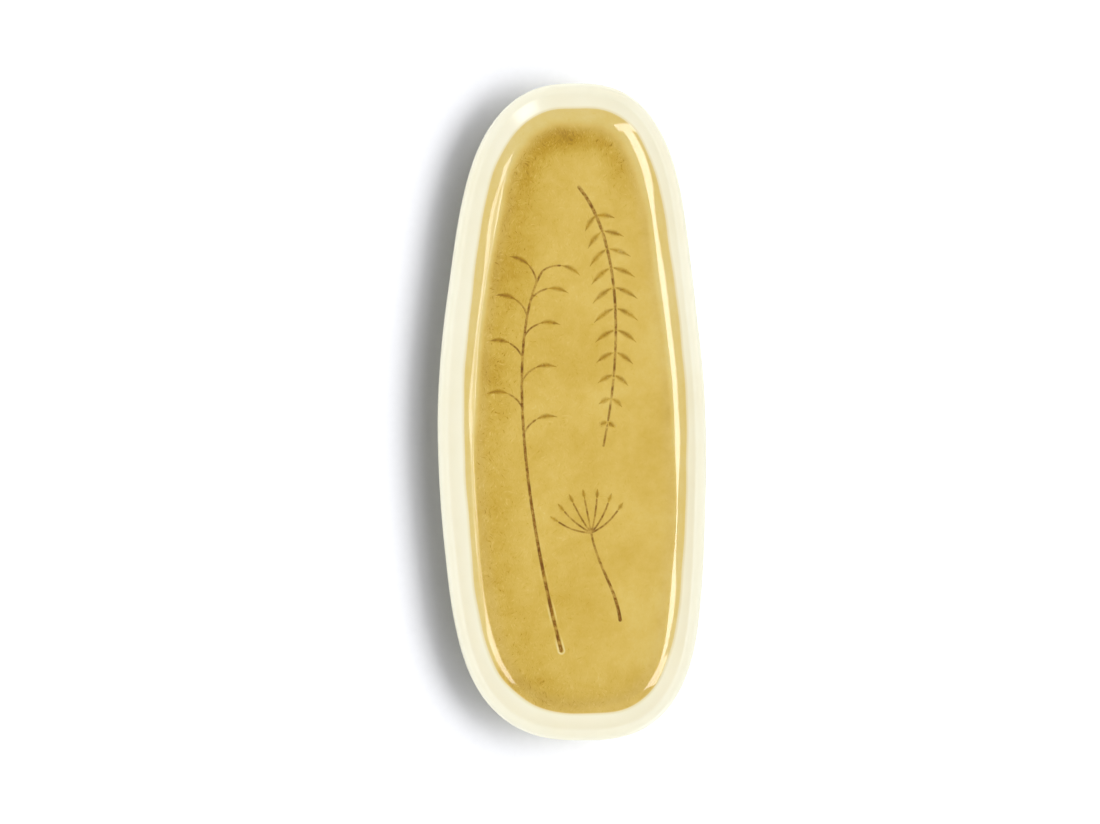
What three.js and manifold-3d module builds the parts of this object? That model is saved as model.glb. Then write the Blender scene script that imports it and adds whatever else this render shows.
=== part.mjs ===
// Oval serving platter in glazed stoneware, hand-formed from one rolled slab of clay.
// A luted foot ring carries the slab. Cream glaze coats the rim, the outside and the underside, amber glaze
// fills the well, and three pressed plants are inlaid in the amber as dark lines.
// Millimetres, +Z up. The origin lies on the table under the middle of the platter, and +Y runs along it.

import * as THREE from "three";
import { mergeVertices } from "three/addons/utils/BufferGeometryUtils.js";
import Module from "manifold-3d";

const wasm = await Module();
wasm.setup();

// Overall size, measured over the glaze
const LENGTH = 400;
const WIDTH = 164;

// Plan shape: a superellipse that narrows towards +Y, bows to one side and leans, as a slab cut by hand does
const SIDE_FULLNESS = 2.64;
const END_FULLNESS = 3.14;
const TAPER = 0.079;
const SHOULDER = 0.022;
const BOW = 4.25;
const LEAN = 2.13;

// Clay: slab thickness, fall of the wall from the lip to the floor, and its plan width where that is widest.
// Away from that side (degrees) the wall is narrower by up to RUN_DRIFT.
// The wall is steepest at the lip and eases into the floor: WALL_EASE is the power that it falls by.
const SLAB = 6;
const WELL_DEPTH = 12.9;
const WALL_RUN = 21.5;
const RUN_DRIFT = 6.5;
const WIDEST_TOWARDS = 135;
const WALL_EASE = 1.7;

// Foot ring: it holds the slab FOOT_HEIGHT above the table and its root sits FOOT_KEY deep in a channel
const FOOT_HEIGHT = 4;
const FOOT_WIDTH = 6;
const FOOT_TAPER = 0.8;
const FOOT_EDGE = 0.6;
const FOOT_KEY = 1.2;
const FOOT_SETBACK = 2;

// Glaze: coat thickness, plan width of the cream band and how far it drifts towards one side (degrees),
// the bare strip left beside the foot ring, and the amber left under the pressed lines
const CREAM_COAT = 0.7;
const CREAM_BAND = 14.5;
const BAND_DRIFT = 2.4;
const BAND_DRIFT_TOWARDS = 197;
const GLAZE_STOP = 1.5;
const AMBER_BED = 0.6;

// Pressed lines: thickness of the stain, its depth below the glaze, and line widths
const STAIN_DEPTH = 0.4;
const STAIN_SINK = 0.2;
const STEM_BASE = 2;
const STEM_TIP = 1;
const TWIG = 0.9;

// Pressed plants: lengths and widths in millimetres, angles in degrees, places as shares of the well's floor
const FERN = {
  stem: [[0.08, 0.8], [0.55, 0.62], [0.6, 0.25], [0.36, -0.12]],
  pairs: 11,
  firstPair: 0.16,
  leaflet: 16,
  longestAt: 0.35,
  narrowing: 0.7,
  leafletWidth: 4.2,
  spread: 58,
  curl: 14,
};
const GRASS = {
  stem: [[-0.12, -0.85], [-0.62, -0.25], [-0.72, 0.3], [-0.34, 0.5]],
  spikelets: 9,
  firstSpikelet: 0.46,
  stalk: 12,
  spikelet: 13,
  spikeletWidth: 4,
  spread: 42,
  droop: 24,
};
const UMBEL = {
  stem: [[0.55, -0.74], [0.5, -0.62], [0.3, -0.56], [0.22, -0.43]],
  rays: 7,
  ray: 21,
  seed: 6,
  seedWidth: 3.2,
  fan: 156,
  curl: 0.22,
};

// Clearance left between bonded layers
const BOND_GAP = 0.3;

// How finely the solids are faceted
const OUTLINE_POINTS = 72;
const OUTLINE_SAMPLES = 720;
const CORNER_REACH = 80;
const INNER_WALL_STEPS = 4;
const OUTER_WALL_STEPS = 5;
const OVER_LIP_STEPS = 4;
const UNDER_LIP_STEPS = 2;
const STEM_STEPS = 12;
const TWIG_STEPS = 3;
const BLADE_STEPS = 4;

const CREAM_LIFT = BOND_GAP + CREAM_COAT;
const CREST_INSET = CREAM_LIFT + SLAB / 2;
const FLOOR_INSET = CREST_INSET + SLAB / 2 + WALL_RUN;
const UNDERSIDE_Z = FOOT_HEIGHT;
const FLOOR_Z = UNDERSIDE_Z + SLAB;
const PRESS_DEPTH = STAIN_SINK + STAIN_DEPTH + BOND_GAP;
const AMBER_POOL = AMBER_BED + PRESS_DEPTH;
const AMBER_TOP_Z = FLOOR_Z + BOND_GAP + AMBER_POOL;
const FOOT_INSET = FLOOR_INSET + FOOT_SETBACK;
const FOOT_INNER_INSET = FOOT_INSET + FOOT_WIDTH;
const FLOOR_HALF_WIDTH = WIDTH / 2 - FLOOR_INSET;
const FLOOR_HALF_LENGTH = LENGTH / 2 - FLOOR_INSET;

const FINISH = {
  stoneware: { color: 0xd8c6a4, roughness: 0.85, metalness: 0 },
  cream: { color: 0xf4efd8, roughness: 0.12, metalness: 0 },
  amber: { color: 0xcfae55, roughness: 0.1, metalness: 0 },
  stain: { color: 0x86591a, roughness: 0.2, metalness: 0 },
};

// Plan outline

const steps = (count, make) => Array.from({ length: count + 1 }, (_, i) => make(i / count));
const signedPower = (value, exponent) => Math.sign(value) * Math.abs(value) ** exponent;

function freehandPoint(angle) {
  const along = signedPower(Math.sin(angle), 2 / END_FULLNESS);
  const across = signedPower(Math.cos(angle), 2 / SIDE_FULLNESS);
  const swell = 1 - TAPER * along + SHOULDER * Math.cos(2 * Math.PI * along);
  const drift = -BOW * (1 - along * along) - LEAN * along;
  return new THREE.Vector3((across * swell * WIDTH) / 2 + drift, (along * LENGTH) / 2, 0);
}

// The outline anticlockwise, fitted to exactly LENGTH by WIDTH about the origin.
// Points lie closer where the outline turns: a turn of one radian counts as CORNER_REACH of length.
function platterOutline() {
  const samples = steps(OUTLINE_SAMPLES, (share) => freehandPoint(2 * Math.PI * share));
  const legs = samples.slice(1).map((sample, i) => sample.clone().sub(samples[i]));
  const travelled = [0];
  legs.forEach((leg, i) => {
    const turn = leg.angleTo(legs[(i + 1) % OUTLINE_SAMPLES]);
    travelled.push(travelled[i] + leg.length() + CORNER_REACH * turn);
  });
  const points = [];
  let leg = 0;
  for (let i = 0; i < OUTLINE_POINTS; i++) {
    const goal = (i / OUTLINE_POINTS) * travelled[OUTLINE_SAMPLES];
    while (travelled[leg + 1] <= goal) {
      leg++;
    }
    const share = (goal - travelled[leg]) / (travelled[leg + 1] - travelled[leg]);
    points.push(samples[leg].clone().addScaledVector(legs[leg], share));
  }
  const box = new THREE.Box3().setFromPoints(points);
  const centre = box.getCenter(new THREE.Vector3());
  const size = box.getSize(new THREE.Vector3());
  return points.map((p) => p.sub(centre).multiply(new THREE.Vector3(WIDTH / size.x, LENGTH / size.y, 1)));
}

// Each outline point with its way inwards, towards a spine along the middle, so that insets never cross.
// The spine ends half a width short of each end.
const outline = platterOutline().map((edge) => {
  const shortfall = (WIDTH / LENGTH) * ((2 * edge.y) / LENGTH) ** 2;
  const spinePoint = new THREE.Vector3(0, edge.y * (1 - shortfall), 0);
  const inwards = spinePoint.sub(edge).normalize();
  return { edge, inwards, heading: Math.atan2(edge.y, edge.x) };
});

// Cross-section: a point is an inset from the outline and a height, lifted square to the inner face.
// Share runs down the wall from 0 at the lip to 1 at the floor.

function wallRun(heading) {
  const away = (1 - Math.cos(heading - THREE.MathUtils.degToRad(WIDEST_TOWARDS))) / 2;
  return WALL_RUN - RUN_DRIFT * away;
}

function wallSlope(heading, share) {
  return Math.atan((WALL_EASE * WELL_DEPTH * (1 - share) ** (WALL_EASE - 1)) / wallRun(heading));
}

// Turned by this from the inner face's normal, the lip's outline is outermost.
const lipBrink = (heading) => Math.PI / 2 + wallSlope(heading, 0);
const wallStart = (heading) => CREST_INSET + (SLAB / 2) * Math.sin(wallSlope(heading, 0));

function wallPoint(heading, share, lift) {
  const slope = wallSlope(heading, share);
  const square = new THREE.Vector2(Math.sin(slope), Math.cos(slope));
  const inset = wallStart(heading) + wallRun(heading) * share;
  const height = FLOOR_Z + WELL_DEPTH * (1 - share) ** WALL_EASE;
  return new THREE.Vector2(inset, height).addScaledVector(square, lift);
}

// The lip is a half round, from the inner face over to the outer.
function lipPoint(heading, turn, lift) {
  const slope = wallSlope(heading, 0);
  const outwards = new THREE.Vector2(Math.sin(slope - turn), Math.cos(slope - turn));
  return wallPoint(heading, 0, -SLAB / 2).addScaledVector(outwards, SLAB / 2 + lift);
}

// How far down the wall the cream glaze meets the amber, which drifts round the platter.
function glazeLine(heading) {
  const towards = THREE.MathUtils.degToRad(BAND_DRIFT_TOWARDS);
  const inset = CREAM_BAND + BAND_DRIFT * Math.cos(heading - towards);
  return (inset - wallStart(heading)) / wallRun(heading);
}

// Rings and skins

const ring = (pointAt) =>
  outline.map(({ edge, inwards, heading }) => {
    const { x: inset, y: height } = pointAt(heading);
    return edge.clone().addScaledVector(inwards, inset).setZ(height);
  });
const evenRing = (inset, height) => ring(() => new THREE.Vector2(inset, height));

// A closed skin through rings that run from the top outwards, down and back in below.
// A hoop's last ring joins its first; a disc's first and last rings are capped.
function skin(rings, isHoop) {
  const around = OUTLINE_POINTS;
  const vertices = rings.flat();
  const triangles = [];
  const bands = isHoop ? rings.length : rings.length - 1;
  for (let band = 0; band < bands; band++) {
    const here = band * around;
    const next = ((band + 1) % rings.length) * around;
    for (let i = 0; i < around; i++) {
      const j = (i + 1) % around;
      triangles.push(here + i, next + i, next + j, here + i, next + j, here + j);
    }
  }
  if (!isHoop) {
    const last = (rings.length - 1) * around;
    const [top, bottom] = [vertices.length, vertices.length + 1];
    vertices.push(new THREE.Vector3(0, 0, vertices[0].z), new THREE.Vector3(0, 0, vertices[last].z));
    for (let i = 0; i < around; i++) {
      const j = (i + 1) % around;
      triangles.push(top, i, j, bottom, last + j, last + i);
    }
  }
  return new THREE.BufferGeometry().setFromPoints(vertices).setIndex(triangles);
}

// Runs of rings from the floor up the inner wall, over the lip and down the outer wall.
// The inner wall is divided at the glaze line, so that clay and glaze are faceted alike.
const upAmberWall = (liftAt, seam) =>
  steps(INNER_WALL_STEPS, (share) =>
    ring((heading) => wallPoint(heading, 1 - share * (1 - glazeLine(heading) - seam), liftAt(share))),
  );
const upCreamWall = (lift) =>
  steps(INNER_WALL_STEPS, (share) =>
    ring((heading) => wallPoint(heading, glazeLine(heading) * (1 - share), lift)),
  );
const overLip = (lift) =>
  steps(OVER_LIP_STEPS, (share) => ring((heading) => lipPoint(heading, lipBrink(heading) * share, lift)));
const underLip = (lift) =>
  steps(UNDER_LIP_STEPS, (share) =>
    ring((heading) => lipPoint(heading, THREE.MathUtils.lerp(lipBrink(heading), Math.PI, share), lift)),
  );
const downOuterWall = (lift) =>
  steps(OUTER_WALL_STEPS, (share) => ring((heading) => wallPoint(heading, share, -SLAB - lift)));
const roundTheOutside = (lift) => [
  ...overLip(lift).slice(1),
  ...underLip(lift).slice(1),
  ...downOuterWall(lift).slice(1),
];

// Solids for joining and cutting

function solidOf(geometry) {
  const bare = geometry.clone();
  bare.deleteAttribute("normal");
  bare.deleteAttribute("uv");
  const merged = mergeVertices(bare);
  const vertProperties = merged.attributes.position.array;
  const triVerts = new Uint32Array(merged.index.array);
  return new wasm.Manifold(new wasm.Mesh({ numProp: 3, vertProperties, triVerts }));
}

function geometryOf(solid) {
  const { vertProperties, triVerts } = solid.getMesh();
  const position = new THREE.BufferAttribute(new Float32Array(vertProperties), 3);
  return new THREE.BufferGeometry().setAttribute("position", position).setIndex([...triVerts]);
}

// Clay pieces

function stonewareBody() {
  const channelTop = UNDERSIDE_Z + FOOT_KEY + BOND_GAP;
  const channelOuter = FOOT_INSET - BOND_GAP;
  const channelInner = FOOT_INNER_INSET + BOND_GAP;
  return skin([
    ...upAmberWall(() => 0, 0).slice(0, -1),
    ...upCreamWall(0),
    ...roundTheOutside(0),
    evenRing(channelOuter, UNDERSIDE_Z),
    evenRing(channelOuter, channelTop),
    evenRing(channelInner, channelTop),
    evenRing(channelInner, UNDERSIDE_Z),
  ]);
}

function footRing() {
  const key = UNDERSIDE_Z + FOOT_KEY;
  const [treadOuter, treadInner] = [FOOT_INSET + FOOT_TAPER, FOOT_INNER_INSET - FOOT_TAPER];
  return skin(
    [
      evenRing(FOOT_INNER_INSET, key),
      evenRing(FOOT_INSET, key),
      evenRing(FOOT_INSET, UNDERSIDE_Z),
      evenRing(treadOuter, FOOT_EDGE),
      evenRing(treadOuter + FOOT_EDGE, 0),
      evenRing(treadInner - FOOT_EDGE, 0),
      evenRing(treadInner, FOOT_EDGE),
      evenRing(FOOT_INNER_INSET, UNDERSIDE_Z),
    ],
    true,
  );
}

// Glaze pieces

function creamRimGlaze() {
  const stopInset = FOOT_INSET - GLAZE_STOP;
  const coat = (lift) => [
    ...upCreamWall(lift),
    ...roundTheOutside(lift),
    evenRing(stopInset, UNDERSIDE_Z - lift),
  ];
  return skin([...coat(CREAM_LIFT), ...coat(BOND_GAP).reverse()], true);
}

function creamUndersideGlaze() {
  const stopInset = FOOT_INNER_INSET + GLAZE_STOP;
  return skin([evenRing(stopInset, UNDERSIDE_Z - BOND_GAP), evenRing(stopInset, UNDERSIDE_Z - CREAM_LIFT)]);
}

// The pool is as thin as the cream coat where they meet and deepens towards the floor.
function amberPool() {
  const seam = BOND_GAP / (WALL_RUN - RUN_DRIFT);
  const top = upAmberWall((share) => BOND_GAP + THREE.MathUtils.lerp(AMBER_POOL, CREAM_COAT, share), seam);
  const bottom = upAmberWall(() => BOND_GAP, seam);
  return skin([...top, ...bottom.reverse()]);
}

// Pressed plants: each is a tree of strokes, a curve on the floor with a width along it

const onFloor = ([across, along]) => new THREE.Vector2(across * FLOOR_HALF_WIDTH, along * FLOOR_HALF_LENGTH);
const stemCurve = (places) => new THREE.CubicBezierCurve(...places.map(onFloor));
const ahead = (from, direction, degrees, length) => {
  const turned = direction.clone().rotateAround(new THREE.Vector2(), THREE.MathUtils.degToRad(degrees));
  return turned.multiplyScalar(length).add(from);
};
// A curve that sets off at one angle to the given direction and ends at another.
const bowed = (from, direction, setOff, arrive, length) =>
  new THREE.QuadraticBezierCurve(
    from,
    ahead(from, direction, setOff, length / 2),
    ahead(from, direction, arrive, length),
  );
const stem = (curve) => ({
  curve,
  count: STEM_STEPS,
  width: (share) => THREE.MathUtils.lerp(STEM_BASE, STEM_TIP, share),
});
const twig = (curve) => ({ curve, count: TWIG_STEPS, width: () => TWIG });
const blade = (curve, widest) => ({
  curve,
  count: BLADE_STEPS,
  width: (share) => Math.max(TWIG, widest * Math.sin(Math.PI * share)),
});

// Leaflets in pairs, longest below the middle of the frond.
function fernStrokes() {
  const rachis = stemCurve(FERN.stem);
  const strokes = [stem(rachis)];
  for (let pair = 0; pair < FERN.pairs; pair++) {
    const along = pair / FERN.pairs;
    const share = THREE.MathUtils.lerp(FERN.firstPair, 1, along);
    const length = FERN.leaflet * Math.cos(Math.PI * FERN.narrowing * (along - FERN.longestAt));
    const [from, direction] = [rachis.getPoint(share), rachis.getTangent(share)];
    for (const side of [-1, 1]) {
      const leaflet = bowed(from, direction, side * (FERN.spread + FERN.curl), side * FERN.spread, length);
      strokes.push(blade(leaflet, FERN.leafletWidth));
    }
  }
  return strokes;
}

// Stalked spikelets on alternate sides of the nodding head.
function grassStrokes() {
  const culm = stemCurve(GRASS.stem);
  const strokes = [stem(culm)];
  for (let k = 0; k < GRASS.spikelets; k++) {
    const side = k % 2 ? 1 : -1;
    const share = THREE.MathUtils.lerp(GRASS.firstSpikelet, 1, k / (GRASS.spikelets - 1));
    const [from, direction] = [culm.getPoint(share), culm.getTangent(share)];
    const setOff = side * (GRASS.spread - GRASS.droop);
    const stalk = bowed(from, direction, setOff, side * GRASS.spread, GRASS.stalk);
    const [joint, onwards] = [stalk.getPoint(1), stalk.getTangent(1)];
    const spikelet = bowed(joint, onwards, 0, side * GRASS.droop, GRASS.spikelet);
    strokes.push(twig(stalk), blade(spikelet, GRASS.spikeletWidth));
  }
  return strokes;
}

// Rays fan out from the top of the stalk and curl back towards its line, a seed at each end.
function umbelStrokes() {
  const stalk = stemCurve(UMBEL.stem);
  const strokes = [stem(stalk)];
  const [hub, direction] = [stalk.getPoint(1), stalk.getTangent(1)];
  for (let k = 0; k < UMBEL.rays; k++) {
    const angle = UMBEL.fan * (k / (UMBEL.rays - 1) - 0.5);
    const ray = bowed(hub, direction, angle, angle * (1 - UMBEL.curl), UMBEL.ray);
    const [seedBase, onwards] = [ray.getPoint(1), ray.getTangent(1)];
    strokes.push(twig(ray), blade(bowed(seedBase, onwards, 0, 0, UMBEL.seed), UMBEL.seedWidth));
  }
  return strokes;
}

// A stroke as an upright ribbon, widened and lengthened all round by grow.
function ribbon({ curve, count, width }, grow, bottom, depth) {
  const sides = steps(count, (share) => {
    const along = curve.getTangent(share);
    const across = new THREE.Vector2(-along.y, along.x).multiplyScalar(width(share) / 2 + grow);
    const reach = share === 0 ? -grow : share === 1 ? grow : 0;
    const middle = curve.getPoint(share).addScaledVector(along, reach);
    return [middle.clone().sub(across), middle.clone().add(across)];
  });
  const shape = new THREE.Shape([...sides.map((pair) => pair[0]), ...sides.map((pair) => pair[1]).reverse()]);
  return new THREE.ExtrudeGeometry(shape, { depth, bevelEnabled: false }).translate(0, 0, bottom);
}

function plantSolid(strokes, grow, bottom, depth) {
  const ribbons = strokes.map((stroke) => solidOf(ribbon(stroke, grow, bottom, depth)));
  return ribbons.reduce((whole, part) => whole.add(part));
}

const plants = { fern_inlay: fernStrokes(), oat_grass_inlay: grassStrokes(), umbel_inlay: umbelStrokes() };

// The pool with every plant pressed into it; each groove is cut from above the pool's surface.
function amberWellGlaze() {
  const groove = (strokes) => plantSolid(strokes, BOND_GAP, AMBER_TOP_Z - PRESS_DEPTH, 2 * PRESS_DEPTH);
  const pressed = (pool, strokes) => pool.subtract(groove(strokes));
  return geometryOf(Object.values(plants).reduce(pressed, solidOf(amberPool())));
}

const STAIN_Z = AMBER_TOP_Z - STAIN_SINK - STAIN_DEPTH;
const inlay = (strokes) => geometryOf(plantSolid(strokes, 0, STAIN_Z, STAIN_DEPTH));

// Assembly

const platter = new THREE.Group();

function addPiece(name, geometry, finish) {
  const mesh = new THREE.Mesh(geometry, new THREE.MeshStandardMaterial(FINISH[finish]));
  mesh.name = name;
  mesh.geometry.computeVertexNormals();
  platter.add(mesh);
}

addPiece("stoneware_body", stonewareBody(), "stoneware");
addPiece("foot_ring", footRing(), "stoneware");
addPiece("rim_glaze", creamRimGlaze(), "cream");
addPiece("underside_glaze", creamUndersideGlaze(), "cream");
addPiece("well_glaze", amberWellGlaze(), "amber");
for (const [name, strokes] of Object.entries(plants)) {
  addPiece(name, inlay(strokes), "stain");
}

export default platter;
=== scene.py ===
# Looks of an oval serving platter in hand-formed, glazed stoneware.
# Fine meshes stand for the clay, the glaze coats and the pressed plants. They follow the plan and section of
# the solids, with the small unevenness of handwork added.
# Lengths are millimetres until a mesh is made. +Z is up and +Y runs along the platter to its narrower end.

import math

import bpy
import numpy as np
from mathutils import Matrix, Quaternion, Vector
from mathutils.geometry import delaunay_2d_cdt


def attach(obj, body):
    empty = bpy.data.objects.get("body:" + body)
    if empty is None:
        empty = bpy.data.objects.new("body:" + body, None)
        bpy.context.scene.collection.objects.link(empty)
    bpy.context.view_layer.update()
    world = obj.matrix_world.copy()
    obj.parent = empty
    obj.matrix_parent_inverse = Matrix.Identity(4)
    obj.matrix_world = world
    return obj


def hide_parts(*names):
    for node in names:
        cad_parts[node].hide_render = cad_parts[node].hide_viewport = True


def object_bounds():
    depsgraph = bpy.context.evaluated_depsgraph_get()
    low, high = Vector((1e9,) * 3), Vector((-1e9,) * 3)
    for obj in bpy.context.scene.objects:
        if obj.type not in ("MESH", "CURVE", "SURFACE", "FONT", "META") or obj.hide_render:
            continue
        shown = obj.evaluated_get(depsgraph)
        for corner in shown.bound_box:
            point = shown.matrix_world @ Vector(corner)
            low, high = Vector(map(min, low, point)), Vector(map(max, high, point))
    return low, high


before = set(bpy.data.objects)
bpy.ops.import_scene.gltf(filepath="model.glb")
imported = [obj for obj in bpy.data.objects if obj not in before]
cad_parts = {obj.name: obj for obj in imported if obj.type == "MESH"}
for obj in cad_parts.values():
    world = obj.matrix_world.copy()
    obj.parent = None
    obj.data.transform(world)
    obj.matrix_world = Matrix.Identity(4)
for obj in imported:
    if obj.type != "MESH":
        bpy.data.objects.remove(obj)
cad_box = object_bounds()

MM = 0.001
WIDTH, LENGTH, HEIGHT = ((high - low) / MM for low, high in zip(*cad_box))

# Plan shape: a superellipse that narrows towards +Y, bows to one side and leans
SIDE_FULLNESS = 2.64
END_FULLNESS = 3.14
TAPER = 0.079
SHOULDER = 0.022
BOW = 4.25
LEAN = 2.13

# Clay section: slab, fall and plan width of the wall, and how the wall eases into the floor
SLAB = 6
WELL_DEPTH = 12.9
WALL_RUN = 21.5
RUN_DRIFT = 6.5
WIDEST_TOWARDS = math.radians(135)
WALL_EASE = 1.7

# Foot ring
FOOT_HEIGHT = 4
FOOT_WIDTH = 6
FOOT_TAPER = 0.8
FOOT_ROUND = 1
FOOT_KEY = 1.2
FOOT_SETBACK = 2

# Glaze coats
BOND_GAP = 0.3
CREAM_COAT = 0.7
CREAM_BAND = 13.1
BAND_DRIFT = 2.4
BAND_DRIFT_TOWARDS = math.radians(197)
BAND_STRETCH = 0.9
GLAZE_STOP = 1.5
GLAZE_BEAD = 0.8
CREST_BREAK = 0.1
CREST_BREAK_TURN = 0.5
BEAD_BREAK = 0.5
AMBER_POOL = 1.5
MENISCUS = 0.25

# Pressed lines: the amber dips beside them and lies deeper under the stain, which fades out over a fringe.
# A burr stands up beside the foot of a stem, where the press is full. Presses are shares of the full depth.
DIP_DEPTH = 0.12
DIP_REACH = 0.7
GROOVE_DEPTH = 0.75
GROOVE_REACH = 0.35
FRINGE = 0.5
STAIN_PROUD = 0.02
STAIN_DEPTH = 0.5
BURR_HEIGHT = 0.26
BURR_OFFSET = 1.05
BURR_WIDTH = 0.5
BURR_FROM_PRESS = 0.84
STEM_BASE = 1.6
STEM_TIP = 0.8
TWIG = 0.6
TIP_PRESS = 0.42
PRESS_SWAY = 0.12
PRESS_SWAYS = 13
TWIG_PRESS = 0.45
LEAF_PRESS = 0.22

# Tone of the amber, from 0 where it meets the cream to 1 where it pooled darkest
FILM_TONE = 0.28
NARROW_FILM_TONE = 0.03
FLOOR_TONE = 0.49
LEFT_TONE = 0.1
WIDE_TONE = 0.02
POOL_TONE = 0.33
SMUDGE_TONE = 0.3
# Painted highlight: the amber is drawn paler over the burr beside a stem's foot
BURR_HIGHLIGHT = 0.5
LINE_SOFTNESS = 0.8
LINE_OVERLAP = 0.2

# Parts of the well that differ in tone, each by the place where it begins and the place where it is full
NARROW_END = (105, 160)
WIDE_END = (-145, -180)
LOW_HALF = (30, -100)
LEFT_SIDE = (10, -50)
LEFTWARDS = (50, -25)

# Where the film on the wall gives way to the pool, from the floor's edge, and how much higher in some parts
FILM_STOP = -2.5
LEFT_RISE = 1
LOW_RISE = 1.8
WIDE_RISE = 12
FILM_FADE = 2.2
NARROW_FILM_FADE = 4

# Dark ring in the pool: its middle inside the floor's edge, its width and its strength in the parts
POOL_MIDDLE = 6
POOL_WIDTH = 13
NARROW_POOL_WIDTH = 8.5
LEFT_POOL = 0.4
LOW_POOL_LOSS = 0.25
NARROW_POOL = 0.68
WIDE_POOL = 0.3

# Stain: its strength in lines and leaves, and the shares of a leaf's half width where rib and smudge show
LINE_STAIN = 0.55
LEAF_STAIN = 0.5
LEAF_RIB = 0.55
SMUDGE_FULL = 0.8

# How far inside the floor's edge the pooled amber is dulled by crystals
CRYSTAL_EDGE = 5

# Pressed plants: lengths and widths, angles in degrees, places as shares of the well's floor
FERN = {
    "stem": [(0.08, 0.8), (0.55, 0.62), (0.6, 0.25), (0.36, -0.12)],
    "press": 0.75,
    "pairs": 11,
    "first_pair": 0.16,
    "leaflet": 16,
    "longest_at": 0.35,
    "narrowing": 0.7,
    "leaflet_width": 4.2,
    "spread": 58,
    "curl": 14,
}
GRASS = {
    "stem": [(-0.12, -0.85), (-0.62, -0.25), (-0.72, 0.3), (-0.34, 0.5)],
    "press": 1,
    "spikelets": 9,
    "first_spikelet": 0.46,
    "stalk": 12,
    "spikelet": 13,
    "spikelet_width": 4,
    "spread": 42,
    "droop": 24,
}
UMBEL = {
    "stem": [(0.55, -0.74), (0.5, -0.62), (0.3, -0.56), (0.22, -0.43)],
    "press": 0.85,
    "rays": 7,
    "ray": 21,
    "seed": 6,
    "seed_width": 3.2,
    "fan": 156,
    "curl": 0.22,
}

# Unevenness of handwork round the platter, as waves of (count, height, phase)
EDGE_WAVES = [(4, 0.10, 0.10), (9, 0.07, 0.62), (17, 0.04, 0.31)]
CREST_WAVES = [(3, 0.12, 0.40), (7, 0.08, 0.05), (13, 0.04, 0.77)]
WALL_WAVES = [(9, 0.25, 0.20), (16, 0.14, 0.55), (27, 0.06, 0.90)]
SLIDE_WAVES = [(6, 0.4, 0.15), (10, 0.36, 0.48), (15, 0.1, 0.80)]
LINE_WAVES = [(4, 0.7, 0.25), (7, 0.2, 0.30), (15, 0.18, 0.72), (29, 0.10, 0.15)]

# Slide of the glazed wall: its mean, and the shares down the wall where it begins and is full
SLIDE = 0.2
SLIDE_FROM = 0.35
SLIDE_FULL = 0.75
# Places beside the rim where the wall runs out further into the floor, as (x, y, reach, run)
SOFT_SPOTS = [(-70, -133, 40, 2.0)]
SOFT_FULL = 0.95

# How far the crest of the lip stays below the solids' full height
CREST_SPARE = 0.2

# Fineness of the meshes
AROUND = 480
OUTLINE_SAMPLES = 4001
CREAM_RINGS = 14
LIP_RINGS = 22
OUTER_RINGS = 18
WALL_RINGS = 30
BEAD_RINGS = 4
ROUND_RINGS = 5
HIDDEN_RINGS = 4
HIDDEN_LIP_RINGS = 6
STEM_LEGS = 80
TWIG_LEGS = 8
BLADE_LEGS = 14
CAP_POINTS = 7
COARSE_CELL = 3.2
FINE_CELL = 0.4
SPLIT_REACH = 2.6
HIDDEN_DEPTH = -0.9
BATCH = 4000
EDGE_CLEARANCE = 1.6
PRESS_REACH = 6
INSIDE_ONLY = 1
POOL_WELD = 1e-5
STAIN_WELD = 1e-4

CREAM_LIFT = BOND_GAP + CREAM_COAT
CREST_INSET = CREAM_LIFT + SLAB / 2
FLOOR_INSET = CREST_INSET + SLAB / 2 + WALL_RUN
UNDERSIDE_Z = FOOT_HEIGHT
FLOOR_Z = UNDERSIDE_Z + SLAB
AMBER_TOP_Z = FLOOR_Z + BOND_GAP + AMBER_POOL
FOOT_INSET = FLOOR_INSET + FOOT_SETBACK
FOOT_INNER_INSET = FOOT_INSET + FOOT_WIDTH
FLOOR_HALF = np.array([WIDTH / 2 - FLOOR_INSET, LENGTH / 2 - FLOOR_INSET])


# Small sums

def lerp(start, end, share):
    return start + (end - start) * share


def smoothstep(start, end, value):
    share = np.clip((value - start) / (end - start), 0, 1)
    return share * share * (3 - 2 * share)


def bell(middle, width, value):
    return np.exp(-(((value - middle) / width) ** 2))


def unit(vectors):
    return vectors / np.linalg.norm(vectors, axis=-1, keepdims=True)


def signed_power(value, exponent):
    return np.sign(value) * np.abs(value) ** exponent


# Plan outline

def freehand_loop():
    angle = np.linspace(0, 2 * np.pi, OUTLINE_SAMPLES)
    along = signed_power(np.sin(angle), 2 / END_FULLNESS)
    across = signed_power(np.cos(angle), 2 / SIDE_FULLNESS)
    swell = 1 - TAPER * along + SHOULDER * np.cos(2 * np.pi * along)
    drift = -BOW * (1 - along**2) - LEAN * along
    loop = np.column_stack([across * swell * WIDTH / 2 + drift, along * LENGTH / 2])
    lowest, highest = loop.min(0), loop.max(0)
    return (loop - (lowest + highest) / 2) * [WIDTH, LENGTH] / (highest - lowest)


def evenly_spaced(loop, count):
    steps = np.linalg.norm(np.diff(loop, axis=0), axis=1)
    travelled = np.concatenate([[0], np.cumsum(steps)])
    goals = np.linspace(0, travelled[-1], count, endpoint=False)
    return np.column_stack([np.interp(goals, travelled, axis) for axis in loop.T])


def ripple(waves):
    turn = np.arange(AROUND) / AROUND
    return sum(height * np.sin(2 * np.pi * (count * turn + phase)) for count, height, phase in waves)


EDGE = evenly_spaced(freehand_loop(), AROUND)
SHORTFALL = (WIDTH / LENGTH) * (2 * EDGE[:, 1] / LENGTH) ** 2
SPINE = np.column_stack([np.zeros(AROUND), EDGE[:, 1] * (1 - SHORTFALL)])
INWARDS = unit(SPINE - EDGE)
HEADING = np.arctan2(EDGE[:, 1], EDGE[:, 0])

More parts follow.
